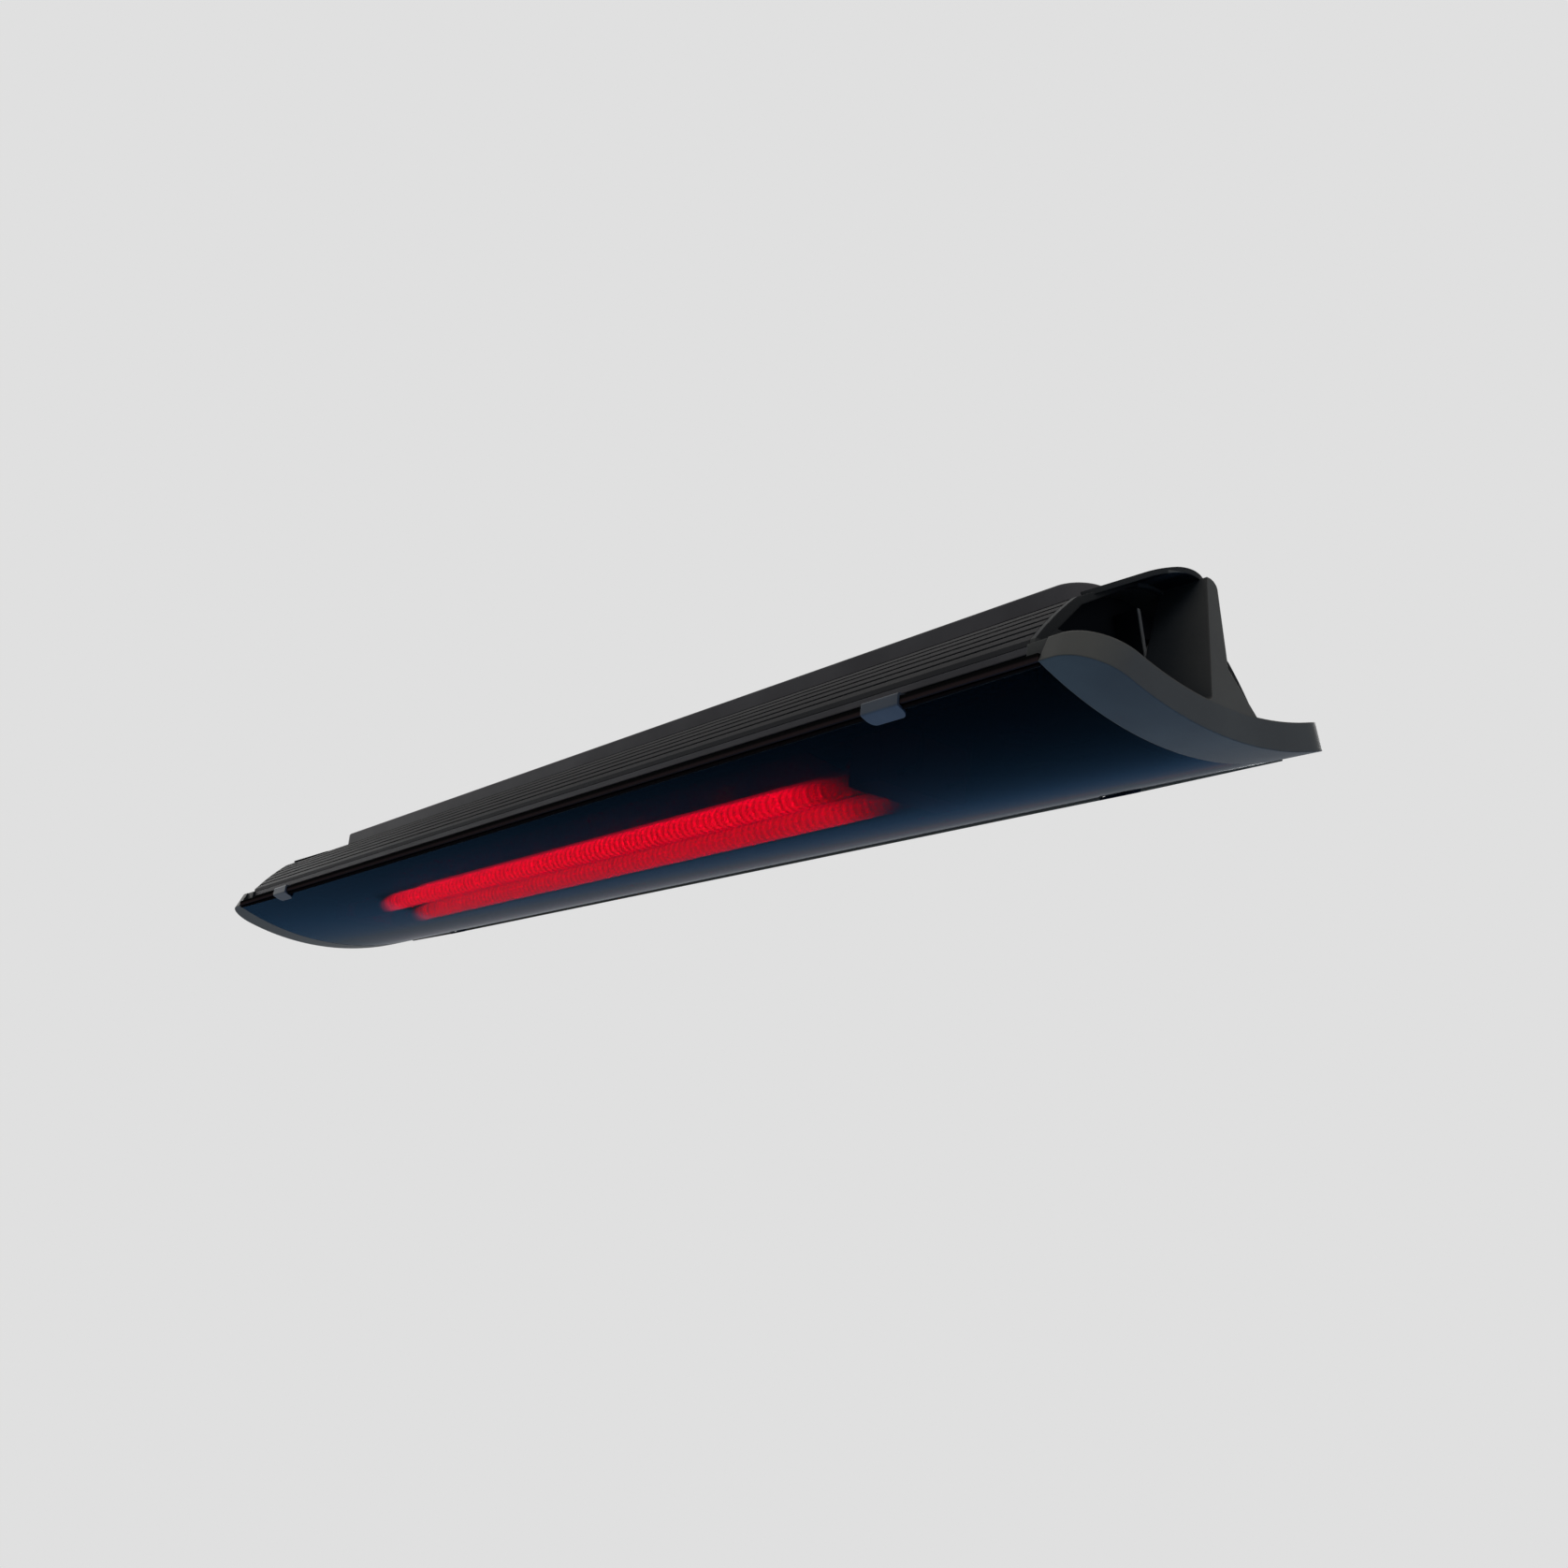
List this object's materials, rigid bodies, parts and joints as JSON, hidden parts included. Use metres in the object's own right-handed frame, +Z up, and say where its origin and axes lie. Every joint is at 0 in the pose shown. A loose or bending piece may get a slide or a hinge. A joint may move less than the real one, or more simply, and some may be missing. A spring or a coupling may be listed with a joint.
{
  "type": "radiant heater",
  "caption": "Long overhead radiant heater with a ribbed dark housing, a curved dark glass front, glowing tubes, open end caps and a rail on top.",
  "frame": {"origin": "middle of the heater at the lowest line of the glass", "axes": "+X along the heater, +Y across it, +Z up towards the rail"},
  "size_m": [1.138, 0.1896, 0.0998],
  "materials": {
    "housing_paint": "satin powder coat, dark grey",
    "cap_paint": "satin powder coat, dark grey",
    "dark_glass": "polished dark glass ceramic",
    "trim_metal": "satin, dark",
    "clip_steel": "satin, dark",
    "screw_steel": "plain",
    "seal_rubber": "matte",
    "quartz": "clear",
    "carbon": "glowing carbon",
    "bright_sheet": "bright",
    "ceramic": "fired ceramic",
    "mat_fibre": "felted",
    "lead_sleeve": "woven glass sleeve",
    "plate_steel": "plain",
    "plate_paint": "satin, black",
    "gland_plastic": "matte",
    "brass": "plain"
  },
  "bodies": {
    "root": {"housing": "housing_paint", "mounting_rail": "housing_paint", "rail_screws": "screw_steel", "glass_front": "dark_glass", "cap_screws": "screw_steel", "cable_gland": "gland_plastic", "reflector": "bright_sheet", "insulation_mat": "mat_fibre", "link_lead": "lead_sleeve", "terminal_block": "ceramic", "thermal_cutout": "plate_steel", "earth_screw": "brass", "glass_seal_front": "seal_rubber", "edge_trim_front": "trim_metal", "clip_screws_front": "screw_steel", "quartz_tube_front": "quartz", "carbon_filament_front": "carbon", "supply_lead_front": "lead_sleeve", "glass_clip_front_right": "clip_steel", "glass_clip_front_left": "clip_steel", "glass_seal_back": "seal_rubber", "edge_trim_back": "trim_metal", "clip_screws_back": "screw_steel", "quartz_tube_back": "quartz", "carbon_filament_back": "carbon", "supply_lead_back": "lead_sleeve", "glass_clip_back_right": "clip_steel", "glass_clip_back_left": "clip_steel", "end_cap_right": "cap_paint", "end_plate_right": "plate_paint", "tube_holder_right": "ceramic", "end_cap_left": "cap_paint", "end_plate_left": "plate_paint", "tube_holder_left": "ceramic"}
  },
  "joints": []
}
